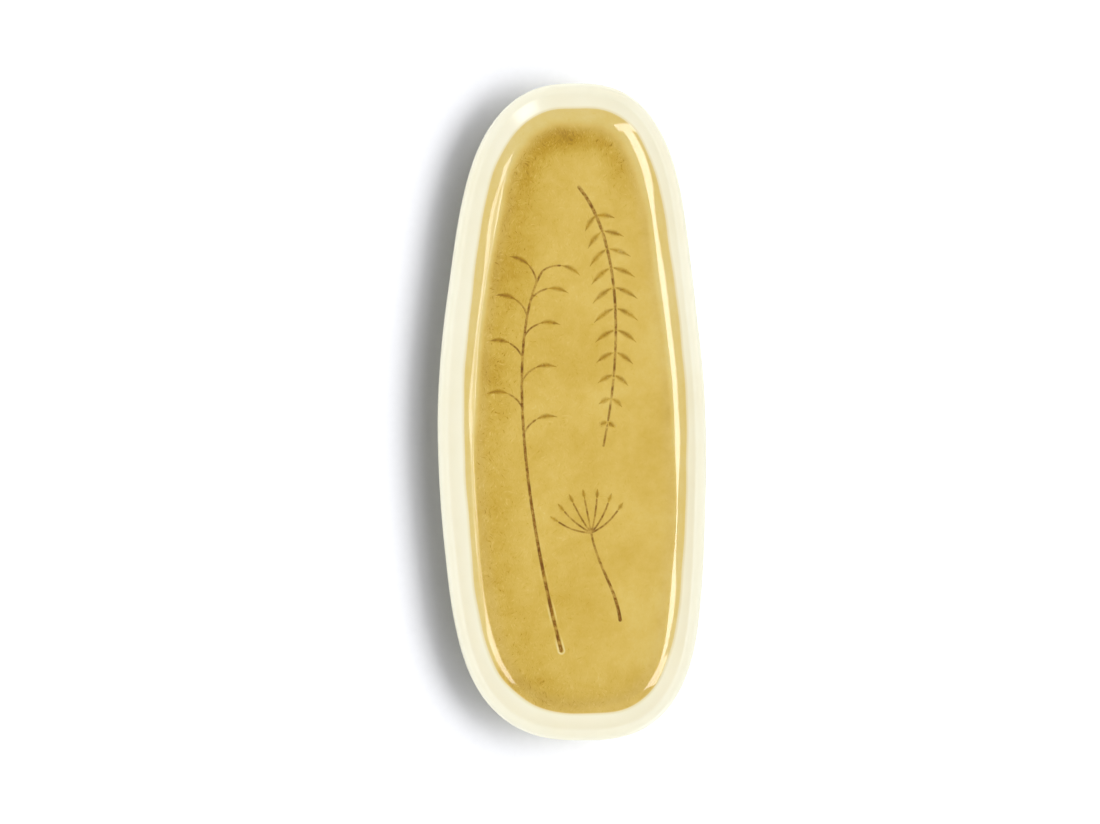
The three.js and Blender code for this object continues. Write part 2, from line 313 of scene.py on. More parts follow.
# Dents only go inwards and dips only down, so that the platter keeps inside its size
EDGE_DENT = ripple(EDGE_WAVES) - ripple(EDGE_WAVES).min()
CREST_DIP = ripple(CREST_WAVES) - ripple(CREST_WAVES).min() + CREST_SPARE
WALL_WIDTH = WALL_RUN - RUN_DRIFT * (1 - np.cos(HEADING - WIDEST_TOWARDS)) / 2 + ripple(WALL_WAVES)


# Section: share runs down the wall from 0 at the lip to 1 at the floor

def wall_slope(share):
    return np.arctan(WALL_EASE * WELL_DEPTH * (1 - share) ** (WALL_EASE - 1) / WALL_WIDTH)


LIP_SLOPE = wall_slope(0)
WALL_START = CREST_INSET + SLAB / 2 * np.sin(LIP_SLOPE)
LINE_INSET = (
    CREAM_BAND
    + BAND_DRIFT * np.cos(HEADING - BAND_DRIFT_TOWARDS)
    - BAND_STRETCH * np.cos(2 * HEADING)
    + ripple(LINE_WAVES)
)
GLAZE_LINE = (LINE_INSET - WALL_START) / WALL_WIDTH


def ring(inset, height):
    plan = EDGE + INWARDS * np.broadcast_to(inset, AROUND)[:, None]
    return np.column_stack([plan, np.broadcast_to(height, AROUND)])


def uneven_ring(inset, height):
    above_floor = np.clip((height - AMBER_TOP_Z) / (HEIGHT - AMBER_TOP_Z), 0, 1)
    return ring(inset + EDGE_DENT, height - CREST_DIP * above_floor)


def wall_ring(share, lift):
    slope = wall_slope(share)
    inset = WALL_START + WALL_WIDTH * share + lift * np.sin(slope)
    height = FLOOR_Z + WELL_DEPTH * (1 - share) ** WALL_EASE + lift * np.cos(slope)
    return uneven_ring(inset, height)


# The glazed face of the inner wall slides in and out a little below the cream, as the glaze ran thicker or
# thinner, and eases further into the floor at the soft spots.
def glazed_wall_ring(share, lift):
    slide = (SLIDE + ripple(SLIDE_WAVES)) * smoothstep(SLIDE_FROM, SLIDE_FULL, share)
    for x, y, reach, run_out in SOFT_SPOTS:
        near = bell(0, reach, np.linalg.norm(EDGE - [x, y], axis=1))
        slide = slide + run_out * near * smoothstep(SLIDE_FROM, SOFT_FULL, share)
    run = wall_ring(share, lift)
    run[:, :2] += INWARDS * slide[:, None]
    return run


# Round the lip: turn is the angle from the inner face's normal over to the outer face's.
def lip_ring(turn, lift):
    reach = SLAB / 2 + lift
    inset = CREST_INSET + reach * np.sin(LIP_SLOPE - turn)
    height = FLOOR_Z + WELL_DEPTH - SLAB / 2 * np.cos(LIP_SLOPE) + reach * np.cos(LIP_SLOPE - turn)
    return uneven_ring(inset, height)


# Meshes

def band_faces(first, second):
    return [
        (first + i, second + i, second + (i + 1) % AROUND, first + (i + 1) % AROUND)
        for i in range(AROUND)
    ]


def hoop(rings):
    """A closed hoop through rings that run from the inside over the top, round and back below."""
    faces = []
    for k in range(len(rings)):
        faces += band_faces(k * AROUND, (k + 1) % len(rings) * AROUND)
    return np.vstack(rings), faces


def disc(rings):
    """A closed skin through rings from the top outwards, round and back below, capped at both ends."""
    faces = [face for k in range(len(rings) - 1) for face in band_faces(k * AROUND, (k + 1) * AROUND)]
    last = (len(rings) - 1) * AROUND
    faces += [tuple(range(AROUND)), tuple(range(last + AROUND - 1, last - 1, -1))]
    return np.vstack(rings), faces


def make_piece(name, vertices, faces, attributes, creased):
    """A smooth mesh in metres; creased picks the vertices between which edges stay sharp."""
    sharp = np.zeros(len(vertices), bool)
    sharp[creased] = True
    mesh = bpy.data.meshes.new(name)
    mesh.from_pydata((vertices * MM).tolist(), [], faces)
    mesh.polygons.foreach_set("use_smooth", np.ones(len(mesh.polygons), bool))
    ends = np.empty(2 * len(mesh.edges), np.int32)
    mesh.edges.foreach_get("vertices", ends)
    mesh.edges.foreach_set("use_edge_sharp", sharp[ends.reshape(-1, 2)].all(1))
    for attribute, values in attributes.items():
        layer = mesh.attributes.new(attribute, "FLOAT", "POINT")
        layer.data.foreach_set("value", np.ascontiguousarray(values, np.float32))
    mesh.update()
    piece = bpy.data.objects.new(name, mesh)
    bpy.context.scene.collection.objects.link(piece)
    return piece


def finish_piece(piece, material, node):
    piece.data.materials.append(material)
    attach(piece, "root")
    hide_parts(node)
    return piece


def steps(count):
    return np.linspace(0, 1, count + 1)


# The clay slab under the glazes, with a channel below that takes the root of the foot ring.
def slab_body():
    channel_top = UNDERSIDE_Z + FOOT_KEY + BOND_GAP
    channel_outer, channel_inner = FOOT_INSET - BOND_GAP, FOOT_INNER_INSET + BOND_GAP
    rings = [glazed_wall_ring(share, 0) for share in steps(WALL_RINGS)[::-1]]
    rings += [lip_ring(np.pi * share, 0) for share in steps(LIP_RINGS)[1:]]
    rings += [wall_ring(share, -SLAB) for share in steps(OUTER_RINGS)[1:]]
    first_creased = len(rings) * AROUND
    rings += [
        ring(channel_outer, UNDERSIDE_Z),
        ring(channel_outer, channel_top),
        ring(channel_inner, channel_top),
        ring(channel_inner, UNDERSIDE_Z),
    ]
    vertices, faces = disc(rings)
    return make_piece("slab_body", vertices, faces, {}, slice(first_creased, None))


# Cream glaze over the rim and the outside. Its breaks attribute is high where the coat thins to a warmer
# tone: over the crest of the lip, along the line where it meets the amber and at its bead above the foot.
def rim_coat():
    stop = FOOT_INSET - GLAZE_STOP
    rings, breaks = [], []
    for share in steps(CREAM_RINGS):
        rings.append(glazed_wall_ring(GLAZE_LINE * (1 - share), CREAM_LIFT))
        from_line = (GLAZE_LINE * WALL_WIDTH) * share
        breaks.append(bell(0, LINE_SOFTNESS, from_line))
    for share in steps(LIP_RINGS)[1:]:
        rings.append(lip_ring(np.pi * share, CREAM_LIFT))
        breaks.append(CREST_BREAK * bell(LIP_SLOPE, CREST_BREAK_TURN, np.pi * share))
    for share in steps(OUTER_RINGS)[1:]:
        rings.append(wall_ring(share, -SLAB - CREAM_LIFT))
        breaks.append(np.zeros(AROUND))
    for turn in (np.pi / 2) * steps(BEAD_RINGS):
        bead = stop - GLAZE_BEAD * (1 - math.sin(turn))
        height = UNDERSIDE_Z - BOND_GAP - CREAM_COAT * math.cos(turn)
        rings.append(ring(bead, height))
        breaks.append(np.full(AROUND, BEAD_BREAK * math.sin(turn)))
    last_outside = len(rings)
    for share in steps(HIDDEN_RINGS)[::-1]:
        rings.append(wall_ring(share, -SLAB - BOND_GAP))
    for turn in (np.pi * steps(HIDDEN_LIP_RINGS)[::-1])[1:]:
        rings.append(lip_ring(turn, BOND_GAP))
    for share in steps(CREAM_RINGS)[1:]:
        rings.append(glazed_wall_ring(GLAZE_LINE * share, BOND_GAP))
    breaks += [np.zeros(AROUND)] * (len(rings) - last_outside)
    vertices, faces = hoop(rings)
    return make_piece("rim_coat", vertices, faces, {"breaks": np.concatenate(breaks)}, slice(AROUND))


# Cream glaze on the underside, with a rounded edge where it stops short of the foot ring.
def underside_coat():
    stop = FOOT_INNER_INSET + GLAZE_STOP
    rings = [ring(stop, UNDERSIDE_Z - BOND_GAP)]
    for turn in (np.pi / 2) * steps(ROUND_RINGS):
        bead = stop + GLAZE_BEAD * (1 - math.cos(turn))
        rings.append(ring(bead, UNDERSIDE_Z - BOND_GAP - CREAM_COAT * math.sin(turn)))
    vertices, faces = disc(rings)
    return make_piece("underside_coat", vertices, faces, {"breaks": np.zeros(len(vertices))}, slice(AROUND))


# Foot ring of bare clay: tapered sides, rounded edges and a flat tread.
def bare_foot_ring():
    key = UNDERSIDE_Z + FOOT_KEY
    outer, inner = FOOT_INSET + FOOT_TAPER, FOOT_INNER_INSET - FOOT_TAPER
    rings = [ring(FOOT_INNER_INSET, key), ring(FOOT_INSET, key), ring(FOOT_INSET, UNDERSIDE_Z)]
    for turn in (np.pi / 2) * steps(ROUND_RINGS):
        rings.append(ring(outer + FOOT_ROUND * (1 - math.cos(turn)), FOOT_ROUND * (1 - math.sin(turn))))
    for turn in (np.pi / 2) * steps(ROUND_RINGS):
        rings.append(ring(inner - FOOT_ROUND * (1 - math.sin(turn)), FOOT_ROUND * (1 - math.cos(turn))))
    rings.append(ring(FOOT_INNER_INSET, UNDERSIDE_Z))
    vertices, faces = hoop(rings)
    return make_piece("bare_foot_ring", vertices, faces, {}, slice(2 * AROUND))


# Pressed plants: a stroke is a line on the floor with a half width and a press along it

def curve_at(controls, share):
    """Places and directions along a curve with three or four control points."""
    points = [np.asarray(point, float) for point in controls]
    while len(points) > 2:
        points = [lerp(a, b, share) for a, b in zip(points, points[1:])]
    return lerp(points[0], points[1], share), unit(points[1] - points[0])


def ahead(start, direction, degrees, length):
    turn = math.radians(degrees)
    x, y = direction
    turned = np.array([x * math.cos(turn) - y * math.sin(turn), x * math.sin(turn) + y * math.cos(turn)])
    return start + length * turned


def bowed(start, direction, set_off, arrive, length):
    return [start, ahead(start, direction, set_off, length / 2), ahead(start, direction, arrive, length)]


def stroke(controls, half_width_at, press_at, count, leafy):
    share = steps(count)
    points, directions = curve_at(controls, share[:, None])
    return {
        "points": points,
        "directions": directions,
        "half": half_width_at(share),
        "press": press_at(share),
        "leafy": leafy,
    }


def stem_controls(places):
    return [np.array(place) * FLOOR_HALF for place in places]


def stem(controls, root_press):
    def swaying_press(share):
        sway = PRESS_SWAY * np.sin(np.pi * PRESS_SWAYS * share) ** 2
        return lerp(root_press, TIP_PRESS, share) - sway

    return stroke(
        controls,
        lambda share: lerp(STEM_BASE, STEM_TIP, share) / 2,
        swaying_press,
        STEM_LEGS,
        False,
    )


def twig(controls):
    return stroke(
        controls,
        lambda share: np.full(share.shape, TWIG / 2),
        lambda share: np.full(share.shape, TWIG_PRESS),
        TWIG_LEGS,
        False,
    )


def blade(controls, widest):
    return stroke(
        controls,
        lambda share: np.maximum(TWIG, widest * np.sin(np.pi * share)) / 2,
        lambda share: np.full(share.shape, LEAF_PRESS),
        BLADE_LEGS,
        True,
    )


def fern_strokes():
    rachis = stem_controls(FERN["stem"])
    strokes = [stem(rachis, FERN["press"])]
    for pair in range(FERN["pairs"]):
        along = pair / FERN["pairs"]
        start, direction = curve_at(rachis, lerp(FERN["first_pair"], 1, along))
        length = FERN["leaflet"] * math.cos(np.pi * FERN["narrowing"] * (along - FERN["longest_at"]))
        for side in (-1, 1):
            set_off = side * (FERN["spread"] + FERN["curl"])
            leaflet = bowed(start, direction, set_off, side * FERN["spread"], length)
            strokes.append(blade(leaflet, FERN["leaflet_width"]))
    return strokes


def grass_strokes():
    culm = stem_controls(GRASS["stem"])
    strokes = [stem(culm, GRASS["press"])]
    for k in range(GRASS["spikelets"]):
        side = 1 if k % 2 else -1
        start, direction = curve_at(culm, lerp(GRASS["first_spikelet"], 1, k / (GRASS["spikelets"] - 1)))
        set_off = side * (GRASS["spread"] - GRASS["droop"])
        stalk = bowed(start, direction, set_off, side * GRASS["spread"], GRASS["stalk"])
        joint, onwards = curve_at(stalk, 1)
        spikelet = bowed(joint, onwards, 0, side * GRASS["droop"], GRASS["spikelet"])
        strokes += [twig(stalk), blade(spikelet, GRASS["spikelet_width"])]
    return strokes


def umbel_strokes():
    stalk = stem_controls(UMBEL["stem"])
    strokes = [stem(stalk, UMBEL["press"])]
    hub, direction = curve_at(stalk, 1)
    for k in range(UMBEL["rays"]):
        angle = UMBEL["fan"] * (k / (UMBEL["rays"] - 1) - 0.5)
        ray = bowed(hub, direction, angle, angle * (1 - UMBEL["curl"]), UMBEL["ray"])
        seed_base, onwards = curve_at(ray, 1)
        seed = bowed(seed_base, onwards, 0, 0, UMBEL["seed"])
        strokes += [twig(ray), blade(seed, UMBEL["seed_width"])]
    return strokes


def near_stroke(points, line, reach):
    """Which points lie in the box round a stroke, widened by reach."""
    lowest, highest = line["points"].min(0) - reach, line["points"].max(0) + reach
    return ((points > lowest) & (points < highest)).all(1)


def along_legs(points, line):
    """For points and the legs of a line: the share along each leg and the distance to it."""
    start, leg = line[:-1], np.diff(line, axis=0)
    away = points[:, None] - start
    share = np.clip((away * leg).sum(-1) / (leg**2).sum(-1), 0, 1)
    return share, np.linalg.norm(away - share[..., None] * leg, axis=-1)


def distance_to(points, line):
    """How far points lie outside a stroke, its press there and how far across its width they are."""
    share, gap = along_legs(points, line["points"])
    half = lerp(line["half"][:-1], line["half"][1:], share)
    outside = gap - half
    nearest = outside.argmin(1)
    rows = np.arange(len(points))
    press = lerp(line["press"][nearest], line["press"][nearest + 1], share[rows, nearest])
    return outside[rows, nearest], press, -outside[rows, nearest] / half[rows, nearest]


def press_field(points, strokes, reach):
    """Distance outside the nearest stroke, with its press, the share of its half width and its leafiness."""
    outside = np.full(len(points), float(reach))
    press, across, leafy = np.zeros((3, len(points)))
    for line in strokes:
        rows = np.flatnonzero(near_stroke(points, line, reach))
        if len(rows):
            gap, pressed, share = distance_to(points[rows], line)
            closer = gap < outside[rows]
            chosen = rows[closer]
            outside[chosen] = gap[closer]
            press[chosen] = pressed[closer]
            across[chosen] = share[closer]
            leafy[chosen] = line["leafy"]
    return outside, press, across, leafy


PLANTS = {"fern_inlay": fern_strokes(), "oat_grass_inlay": grass_strokes(), "umbel_inlay": umbel_strokes()}
STROKES = [line for strokes in PLANTS.values() for line in strokes]


# Amber pool

def inside(points, loop):
    """Which points lie inside a closed loop, by how often a line along +X crosses it."""
    (ax, ay), (bx, by) = loop.T, np.roll(loop, -1, axis=0).T
    x, y = points[:, :1], points[:, 1:]
    rise = np.where(by == ay, 1, by - ay)
    crosses = ((ay > y) != (by > y)) & (x < ax + (y - ay) * (bx - ax) / rise)
    return crosses.sum(1) % 2 == 1


def distance_to_loop(points, loop):
    closed = np.vstack([loop, loop[:1]])
    batches = np.array_split(points, max(1, len(points) // BATCH))
    return np.concatenate([along_legs(batch, closed)[1].min(1) for batch in batches])


def floor_points(loop):
    """Points over the floor: middles of square cells, which are split in four where a stroke is near."""
    lowest, highest = loop.min(0), loop.max(0)
    grid = np.meshgrid(*(np.arange(lowest[k], highest[k], COARSE_CELL) for k in (0, 1)))
    cells = np.column_stack([axis.ravel() for axis in grid])
    cells = cells[inside(cells, loop)]
    cells = cells[distance_to_loop(cells, loop) > EDGE_CLEARANCE]
    size, kept = COARSE_CELL, []
    while size > FINE_CELL:
        outside = press_field(cells, STROKES, PRESS_REACH)[0]
        split = (outside < SPLIT_REACH + size) & (outside > HIDDEN_DEPTH - size)
        kept.append(cells[~split])
        size /= 2
        corners = size / 2 * np.array([(-1, -1), (1, -1), (-1, 1), (1, 1)])
        cells = (cells[split][:, None] + corners).reshape(-1, 2)
    return np.vstack([*kept, cells])


def burr_at(outside, press):
    return smoothstep(BURR_FROM_PRESS, 1, press) * bell(BURR_OFFSET, BURR_WIDTH, outside)


def pressed_height(outside, press):
    """Height of the pressed surface over and beside the strokes, from the level of the pool."""
    dip = DIP_DEPTH * press * (1 - smoothstep(0, DIP_REACH, outside))
    return BURR_HEIGHT * burr_at(outside, press) - dip


def groove_depth(outside):
    """How far the amber lies below the pressed surface, to hold the stain."""
    return GROOVE_DEPTH * (1 - smoothstep(-GROOVE_REACH, 0, outside))


# A pale film lies on the wall and pools into a dark ring on the floor, strongest at the narrow end and along
# the left side. The floor deepens towards the left, and at the wide end the full amber runs up to the cream.
def amber_tone(points, from_line, from_edge):
    """Tone of the amber at plan points, from their distances inside the cream line and the floor's edge."""
    x, y = points.T
    narrow_end = smoothstep(*NARROW_END, y)
    wide_end = smoothstep(*WIDE_END, y)
    low_half = smoothstep(*LOW_HALF, y)
    left_side = smoothstep(*LEFT_SIDE, x)
    leftwards = smoothstep(*LEFTWARDS, x)
    film_stop = FILM_STOP - LEFT_RISE * left_side - LOW_RISE * low_half - WIDE_RISE * wide_end
    film_fade = lerp(FILM_FADE, NARROW_FILM_FADE, narrow_end)
    film = 1 - smoothstep(film_stop - film_fade, film_stop + film_fade, from_edge)
    left_ring = LEFT_POOL * left_side * (1 - LOW_POOL_LOSS * low_half)
    ring_share = left_ring + NARROW_POOL * narrow_end + WIDE_POOL * wide_end
    ring_width = lerp(POOL_WIDTH, NARROW_POOL_WIDTH, narrow_end)
    ring_tone = np.minimum(ring_share, 1) * bell(POOL_MIDDLE, ring_width, from_edge)
    film_tone = FILM_TONE + NARROW_FILM_TONE * narrow_end
    pool_tone = FLOOR_TONE + LEFT_TONE * leftwards + WIDE_TONE * wide_end + POOL_TONE * ring_tone
    tone = lerp(pool_tone, film_tone, film)
    return tone * smoothstep(-LINE_OVERLAP, LINE_SOFTNESS, from_line)


# A thin film of amber on the wall runs into the level pool on the floor with a small meniscus between.
def amber_wall_ring(share):
    film = glazed_wall_ring(lerp(GLAZE_LINE, 1, share), CREAM_LIFT)
    film[:, 2] = AMBER_TOP_Z + MENISCUS * np.log1p(np.exp((film[:, 2] - AMBER_TOP_Z) / MENISCUS))
    return film


AMBER_WALL = [amber_wall_ring(share) for share in steps(WALL_RINGS)]
FLOOR_EDGE = AMBER_WALL[-1][:, :2]


def floor_tone(points):
    from_edge = distance_to_loop(points, FLOOR_EDGE)
    return amber_tone(points, from_edge + LINE_SOFTNESS, from_edge)


def floor_crystals(points):
    return smoothstep(0, CRYSTAL_EDGE, distance_to_loop(points, FLOOR_EDGE))


# Amber tone over the pressed floor, painted paler over the burr as a painted highlight.
def pressed_tone_with_highlight(points, outside, press):
    return floor_tone(points) - BURR_HIGHLIGHT * burr_at(outside, press)


def wall_tone():
    span = (1 - GLAZE_LINE) * WALL_WIDTH
    return np.concatenate([
        amber_tone(run[:, :2], span * share, span * (share - 1))
        for run, share in zip(AMBER_WALL, steps(WALL_RINGS))
    ])


# Amber glaze in the well: the film on the wall, the pool with the plants pressed in, and the hidden back.
def well_pool():
    floor = floor_points(FLOOR_EDGE)
    wall = np.vstack(AMBER_WALL)
    plan = np.vstack([wall[:, :2], floor])
    corners = [Vector(point) for point in plan]
    outer_edges = [(i, (i + 1) % AROUND) for i in range(AROUND)]
    _, _, triangles, sources, _, _ = delaunay_2d_cdt(corners, outer_edges, [], INSIDE_ONLY, POOL_WELD)
    order = np.array([source[0] for source in sources])
    outside, press, _, _ = press_field(floor, STROKES, PRESS_REACH)
    floor_height = AMBER_TOP_Z + pressed_height(outside, press) - groove_depth(outside)
    height = np.concatenate([wall[:, 2], floor_height])
    tone = np.concatenate([wall_tone(), pressed_tone_with_highlight(floor, outside, press)])
    top = np.column_stack([plan, height])[order]
    rank = np.empty(len(plan), int)
    rank[order] = np.arange(len(order))
    faces = [tuple(face) for face in triangles]
    below = [glazed_wall_ring(lerp(GLAZE_LINE, 1, share), BOND_GAP) for share in steps(HIDDEN_RINGS)]
    first = len(top)
    rim = rank[:AROUND]
    for i in range(AROUND):
        j = (i + 1) % AROUND
        faces.append((rim[j], rim[i], first + i, first + j))
    for k in range(len(below) - 1):
        faces += [face[::-1] for face in band_faces(first + (k + 1) * AROUND, first + k * AROUND)]
    last = first + (len(below) - 1) * AROUND
    faces.append(tuple(range(last + AROUND - 1, last - 1, -1)))
    vertices = np.vstack([top, *below])
    crystals = np.concatenate([np.zeros(len(wall)), floor_crystals(floor)])
    hidden = np.zeros(len(vertices) - len(top))
    attributes = {
        "tone": np.concatenate([tone[order], hidden]),
        "crystals": np.concatenate([crystals[order], hidden]),
    }
    return make_piece("well_pool", vertices, faces, attributes, rim)


# Stain in the pressed lines: one mesh for each plant, the union of its strokes

def stroke_outline(line, spread):
    """A closed outline round a stroke that is widened by spread, with rounded ends."""
    half = line["half"] + spread
    across = np.column_stack([-line["directions"][:, 1], line["directions"][:, 0]]) * half[:, None]
    left, right = line["points"] + across, line["points"] - across
    tip, root = line["points"][-1], line["points"][0]
    cap = np.linspace(np.pi / 2, -np.pi / 2, CAP_POINTS)[1:-1, None]
    round_tip = tip + across[-1] * np.sin(cap) + line["directions"][-1] * half[-1] * np.cos(cap)
    round_root = root - across[0] * np.sin(cap) - line["directions"][0] * half[0] * np.cos(cap)
    return np.vstack([right, round_tip[::-1], left[::-1], round_root[::-1]])


def stain_inlay(name, strokes):
    plan, loops = [], []
    for line in strokes:
        outline = stroke_outline(line, FRINGE)
        start = sum(len(part) for part in plan)
        loops.append(list(range(start, start + len(outline))))
        plan += [outline, stroke_outline(line, 0), line["points"]]
    corners = [Vector(point) for point in np.vstack(plan)]
    places, _, triangles, _, _, loops_under = delaunay_2d_cdt(corners, [], loops, INSIDE_ONLY, STAIN_WELD)
    top = np.array([tuple(place) for place in places])
    faces = [tuple(face) for face, under in zip(triangles, loops_under) if under]
    outside, press, across, leafy = press_field(top, strokes, PRESS_REACH)
    count = len(top)
    ink = 1 - smoothstep(0, FRINGE, outside)
    upper = AMBER_TOP_Z + pressed_height(outside, press) + STAIN_PROUD
    lower = upper - lerp(2 * STAIN_PROUD, STAIN_DEPTH, ink)
    edges = dict.fromkeys(edge for face in faces for edge in zip(face, face[1:] + face[:1]))
    rim = [(a, b) for a, b in edges if (b, a) not in edges]
    sides = [(b, a, a + count, b + count) for a, b in rim]
    bottom = [tuple(i + count for i in reversed(face)) for face in faces]
    vertices = np.vstack([np.column_stack([top, upper]), np.column_stack([top, lower])])
    in_leaf = LEAF_STAIN * smoothstep(LEAF_RIB, 1, across)
    in_line = lerp(LINE_STAIN, 1, press) * ink
    stain = np.where(leafy > 0, in_leaf, in_line)
    tone = pressed_tone_with_highlight(top, outside, press) + SMUDGE_TONE * leafy * smoothstep(0, SMUDGE_FULL, across)
    attributes = {"stain": stain, "tone": tone, "crystals": floor_crystals(top)}
    attributes = {attribute: np.tile(values, 2) for attribute, values in attributes.items()}
    return make_piece(name, vertices, faces + sides + bottom, attributes, [a for a, _ in rim])


# Materials

def linear(hex_colour):
    """An sRGB hex colour as linear RGBA."""
    channels = [int(hex_colour[k : k + 2], 16) / 255 for k in (1, 3, 5)]
    return [c / 12.92 if c <= 0.04045 else ((c + 0.055) / 1.055) ** 2.4 for c in channels] + [1]


def per_metre(size):
    """A pattern's scale from the size of its features in millimetres."""
    return 1 / (size * MM)


def add_node(tree, kind, inputs, settings=None, stops=None):
    """Adds a node. Inputs are values or sockets, settings its properties and stops a ramp's colours."""
    node = tree.nodes.new(kind)
    for name, value in (settings or {}).items():
        setattr(node, name, value)
    for key, value in inputs.items():
        if isinstance(value, bpy.types.NodeSocket):
            tree.links.new(value, node.inputs[key])
        else:
            node.inputs[key].default_value = value
    if stops:
        elements = node.color_ramp.elements
        while len(elements) < len(stops):
            elements.new(0.5)
        for element, (place, colour) in zip(elements, stops):
            element.position = place
            element.color = linear(colour)
    return node


def new_material(name, shader_values):
    """A material with one main shader; gives it, its node tree, the shader and the place on the object."""
    material = bpy.data.materials.new(name)
    material.use_nodes = True
    tree = material.node_tree
    shader = tree.nodes["Principled BSDF"]
    for key, value in shader_values.items():
        shader.inputs[key].default_value = value
    place = add_node(tree, "ShaderNodeTexCoord", {}).outputs["Object"]
    return material, tree, shader, place


# Where the cream meets the amber both run out to this tone, so that the line between them is soft.
LINE_COLOUR = "#e8dfb8"


# Cream stoneware glaze, dipped and fired to a gloss: pale and even, with faint buff clouds, warmer where it
# breaks thin over the lip and at its edge.
def cream_glaze():
    material, tree, shader, place = new_material("dipped_cream_glaze", {"Roughness": 0.22, "IOR": 1.5})
    clouds = add_node(tree, "ShaderNodeTexNoise", {"Vector": place, "Scale": per_metre(38), "Detail": 3})
    breaks = add_node(tree, "ShaderNodeAttribute", {}, {"attribute_name": "breaks"})
    tone = add_node(
        tree,
        "ShaderNodeMath",
        {0: clouds.outputs["Fac"], 1: 0.45, 2: breaks.outputs["Fac"]},
        {"operation": "MULTIPLY_ADD"},
    )
    colour = add_node(
        tree,
        "ShaderNodeValToRGB",
        {"Fac": tone.outputs["Value"]},
        stops=[(0.1, "#f6f3df"), (0.24, "#f3f0d9"), (0.45, "#efe9cc"), (1.0, LINE_COLOUR)],
    )
    tree.links.new(colour.outputs["Color"], shader.inputs["Base Color"])
    swell = add_node(tree, "ShaderNodeTexNoise", {"Vector": place, "Scale": per_metre(14), "Detail": 2})
    bump = add_node(
        tree,
        "ShaderNodeBump",
        {"Height": swell.outputs["Fac"], "Strength": 0.25, "Distance": 0.2 * MM},
    )
    tree.links.new(bump.outputs["Normal"], shader.inputs["Normal"])
    return material


# Needles of crystal that grew in the cooling glaze: short light and dark dashes that turn this way and that.
# They are a tenth of a millimetre wide in life and are drawn coarser so that they show.
def crystal_needles(tree, place):
    whirl = add_node(tree, "ShaderNodeTexNoise", {"Vector": place, "Scale": per_metre(9), "Detail": 1})
    turned = add_node(
        tree,
        "ShaderNodeVectorMath",
        {0: whirl.outputs["Color"], 1: (14 * MM,) * 3, 2: place},
        {"operation": "MULTIPLY_ADD"},
    )
    stretched = add_node(
        tree,
        "ShaderNodeMapping",
        {"Vector": turned.outputs["Vector"], "Scale": (per_metre(0.7), per_metre(2.4), per_metre(2.4))},
    )
    needles = add_node(
        tree,
        "ShaderNodeTexNoise",
        {"Vector": stretched.outputs["Vector"], "Scale": 1, "Detail": 2, "Roughness": 0.6},
    )
    spread = add_node(
        tree,
        "ShaderNodeMapRange",
        {"Value": needles.outputs["Fac"], "From Min": 0.3, "From Max": 0.75, "To Min": -0.8, "To Max": 1},
    )
    sparse = add_node(tree, "ShaderNodeMath", {0: spread.outputs["Result"], 1: 3}, {"operation": "POWER"})
    return sparse.outputs["Value"]


# Colour of the honey glaze by its tone, with slow clouds, a fine mottle and crystal needles where it is deep.
def honey_colour(tree, place):
    tone = add_node(tree, "ShaderNodeAttribute", {}, {"attribute_name": "tone"}).outputs["Fac"]
    clouds = add_node(tree, "ShaderNodeTexNoise", {"Vector": place, "Scale": per_metre(34), "Detail": 4})
    mottle = add_node(
        tree,
        "ShaderNodeTexNoise",
        {"Vector": place, "Scale": per_metre(7), "Detail": 4, "Roughness": 0.65},
    )
    cloudy = add_node(
        tree,
        "ShaderNodeMapRange",
        {"Value": clouds.outputs["Fac"], "From Min": 0.3, "From Max": 0.7, "To Min": -0.1, "To Max": 0.1},
    )
    mottled = add_node(
        tree,
        "ShaderNodeMapRange",
        {"Value": mottle.outputs["Fac"], "From Min": 0.3, "From Max": 0.7, "To Min": -0.06, "To Max": 0.06},
    )
    unevenness = add_node(tree, "ShaderNodeMath", {0: cloudy.outputs["Result"], 1: mottled.outputs["Result"]})
    on_floor = add_node(
        tree,
        "ShaderNodeMapRange",
        {"Value": tone, "From Min": 0.1, "From Max": 0.45, "To Min": 0.15, "To Max": 1},
    )
    uneven = add_node(
        tree,
        "ShaderNodeMath",
        {0: unevenness.outputs["Value"], 1: on_floor.outputs["Result"], 2: tone},
        {"operation": "MULTIPLY_ADD"},
    )
    pooled = add_node(
        tree,
        "ShaderNodeMapRange",
        {"Value": tone, "From Min": 0.48, "From Max": 0.75, "To Min": 0.08, "To Max": 0.55},
    )
    needled = add_node(
        tree,
        "ShaderNodeMath",
        {0: crystal_needles(tree, place), 1: pooled.outputs["Result"], 2: uneven.outputs["Value"]},
        {"operation": "MULTIPLY_ADD"},
    )
    return add_node(
        tree,
        "ShaderNodeValToRGB",
        {"Fac": needled.outputs["Value"]},
        stops=[
            (0.0, LINE_COLOUR),
            (0.12, "#e1cd91"),
            (0.24, "#dec87e"),
            (0.36, "#dac06a"),
            (0.5, "#d5b65a"),
            (0.7, "#c8a642"),
            (0.86, "#b89226"),
            (1.0, "#9c751a"),
        ],
    ).outputs["Color"]


# Gloss of the honey glaze, dulled to satin where crystals cover the pool.
def honey_gloss(tree, shader):
    crystals = add_node(tree, "ShaderNodeAttribute", {}, {"attribute_name": "crystals"}).outputs["Fac"]
    for key, glossy, satin in (("Roughness", 0.07, 0.12), ("Specular IOR Level", 0.5, 0.2)):
        gloss = add_node(tree, "ShaderNodeMapRange", {"Value": crystals, "To Min": glossy, "To Max": satin})
        tree.links.new(gloss.outputs["Result"], shader.inputs[key])


